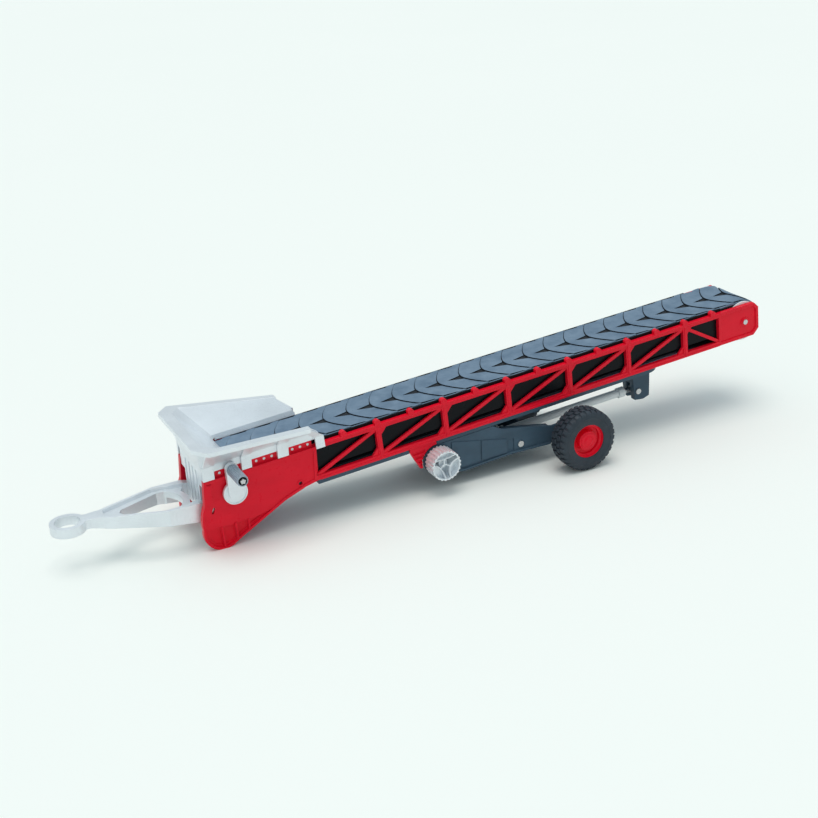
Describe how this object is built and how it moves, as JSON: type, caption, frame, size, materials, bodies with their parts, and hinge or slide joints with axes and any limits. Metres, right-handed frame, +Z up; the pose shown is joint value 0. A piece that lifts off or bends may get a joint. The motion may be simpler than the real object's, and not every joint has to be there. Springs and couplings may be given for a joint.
{
  "type": "towable grain belt conveyor",
  "caption": "Towable belt conveyor for grain: lattice frame, hopper, hand crank, knob-set two-wheel undercarriage and drawbar.",
  "frame": {"origin": "on the floor, below the middle of the whole length and width", "axes": "+X from the hitch eye to the discharge end, +Y to the side away from the knob, +Z up"},
  "size_m": [0.5906, 0.122, 0.0953],
  "materials": {
    "red_plastic": "gloss",
    "silver_plastic": "satin",
    "white_plastic": "satin",
    "slate_plastic": "satin",
    "black_plastic": "satin",
    "belt_rubber": "matt",
    "tyre_rubber": "matt",
    "steel": "brushed"
  },
  "bodies": {
    "frame": {"truss_near": "red_plastic", "truss_far": "red_plastic", "side_plate_near": "red_plastic", "side_plate_far": "red_plastic", "frame_screws": "steel", "frame_spacers": "white_plastic", "hopper": "silver_plastic", "hopper_pegs": "white_plastic", "belt_deck": "black_plastic", "belly_tray": "slate_plastic", "tray_screws": "steel", "belt": "belt_rubber", "head_axle": "steel", "pivot_bracket_near": "red_plastic", "pivot_bracket_far": "red_plastic", "pivot_gear": "white_plastic", "strut_block": "slate_plastic", "strut_upper_pin": "steel"},
    "drawbar": {"drawbar": "silver_plastic", "drawbar_pins": "steel"},
    "crank": {"crank": "silver_plastic", "drum_shaft": "steel", "tail_drum": "white_plastic", "grip_screw": "steel", "grip_washer": "black_plastic"},
    "crank_grip": {"crank_grip": "silver_plastic"},
    "head_roller": {"head_roller": "white_plastic"},
    "undercarriage": {"chassis_near": "slate_plastic", "chassis_far": "slate_plastic", "chassis_floor": "slate_plastic", "countershaft": "steel", "pivot_pin": "steel", "axle_stubs": "steel", "strut_lower_pin": "steel"},
    "wheel_near": {"wheel_rim_near": "red_plastic", "tyre_near": "tyre_rubber", "hub_cap_near": "red_plastic"},
    "wheel_far": {"wheel_rim_far": "red_plastic", "tyre_far": "tyre_rubber", "hub_cap_far": "red_plastic"},
    "knob": {"knob": "silver_plastic", "knob_shaft": "steel"},
    "reduction_gear": {"reduction_gear": "white_plastic"},
    "strut_barrel": {"strut_barrel": "white_plastic", "strut_gland": "white_plastic"},
    "strut_rod": {"strut_rod": "steel"}
  },
  "joints": [
    {"name": "undercarriage_tilt", "type": "hinge", "parent": "frame", "child": "undercarriage", "pos_m": [-0.0092, 0, 0.026], "axis": [0, 1, 0], "range_deg": [0, 18]},
    {"name": "knob_turn", "type": "hinge", "parent": "frame", "child": "knob", "pos_m": [-0.0092, 0, 0.026], "axis": [0, 1, 0], "range_deg": [-146, 2]},
    {"name": "reduction_gear_spin", "type": "hinge", "parent": "undercarriage", "child": "reduction_gear", "pos_m": [0.00355, 0, 0.02488], "axis": [0, 1, 0], "range_deg": [-1, 55]},
    {"name": "strut_barrel_pivot", "type": "hinge", "parent": "undercarriage", "child": "strut_barrel", "pos_m": [0.0629, 0, 0.0212], "axis": [0, 1, 0], "range_deg": [-28, 1]},
    {"name": "strut_rod_pivot", "type": "hinge", "parent": "frame", "child": "strut_rod", "pos_m": [0.1869, 0, 0.0303], "axis": [0, 1, 0], "range_deg": [-10, 1]},
    {"name": "drawbar_pitch", "type": "hinge", "parent": "frame", "child": "drawbar", "pos_m": [-0.1874, 0, 0.031], "axis": [0, 1, 0], "range_deg": [-14, 28]},
    {"name": "crank_spin", "type": "hinge", "parent": "frame", "child": "crank", "pos_m": [-0.17087, 0, 0.04265], "axis": [0, 1, 0], "continuous": true},
    {"name": "crank_grip_spin", "type": "hinge", "parent": "crank", "child": "crank_grip", "pos_m": [-0.17201, 0, 0.06132], "axis": [0, 1, 0], "continuous": true},
    {"name": "head_roller_spin", "type": "hinge", "parent": "frame", "child": "head_roller", "pos_m": [0.27782, 0, 0.07828], "axis": [0, 1, 0], "continuous": true},
    {"name": "wheel_near_spin", "type": "hinge", "parent": "undercarriage", "child": "wheel_near", "pos_m": [0.1052, -0.051, 0.02475], "axis": [0, 1, 0], "continuous": true},
    {"name": "wheel_far_spin", "type": "hinge", "parent": "undercarriage", "child": "wheel_far", "pos_m": [0.1052, 0.051, 0.02475], "axis": [0, 1, 0], "continuous": true}
  ],
  "couplings": [
    {"joint": "knob_turn", "follows": "undercarriage_tilt", "ratio": -8},
    {"joint": "reduction_gear_spin", "follows": "undercarriage_tilt", "ratio": 3},
    {"joint": "strut_barrel_pivot", "follows": "undercarriage_tilt", "ratio": -1.532},
    {"joint": "strut_rod_pivot", "follows": "undercarriage_tilt", "ratio": -0.532},
    {"joint": "head_roller_spin", "follows": "crank_spin", "ratio": 1}
  ]
}
